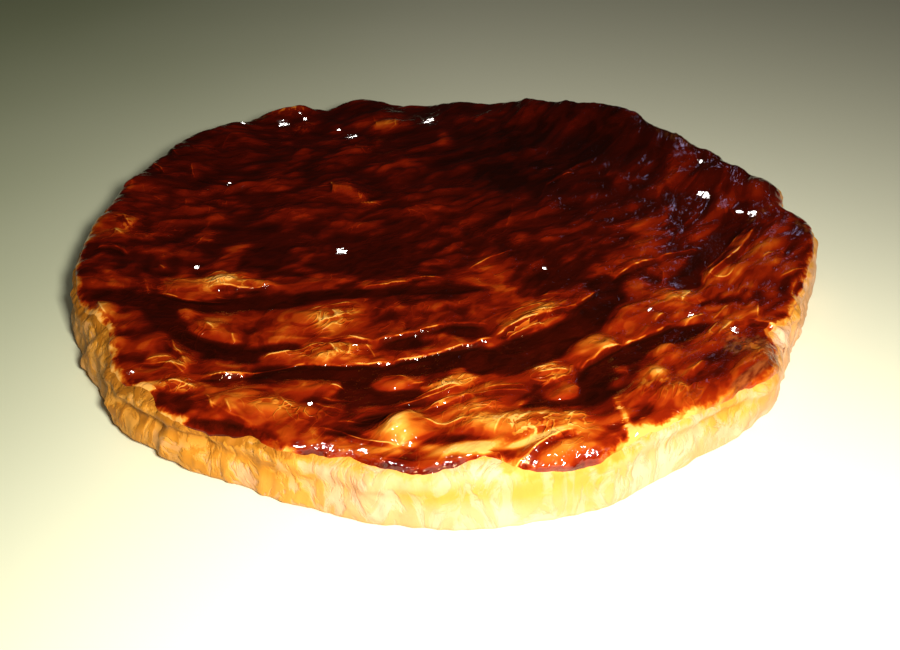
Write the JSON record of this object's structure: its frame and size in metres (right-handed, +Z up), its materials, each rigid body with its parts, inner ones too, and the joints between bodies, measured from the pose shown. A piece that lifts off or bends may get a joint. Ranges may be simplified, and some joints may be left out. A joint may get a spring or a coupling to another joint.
{
  "type": "snail pie",
  "caption": "Round flat puff-pastry pie with an uneven rim, a wrinkled dark glazed lid and a pale flaky side wall, uncut.",
  "frame": {"origin": "middle of the flat underside", "axes": "+Z up out of the glazed lid, -Y towards the side that the picture shows in front, +X to that view's right"},
  "size_m": [0.292, 0.2845, 0.0235],
  "materials": {
    "glazed_pastry": "baked puff pastry: a thin, glossy, dark red-brown glaze on the lid and pale golden flaky pastry on the wall and underside"
  },
  "bodies": {
    "root": {"snail_pie": "glazed_pastry"}
  },
  "joints": []
}
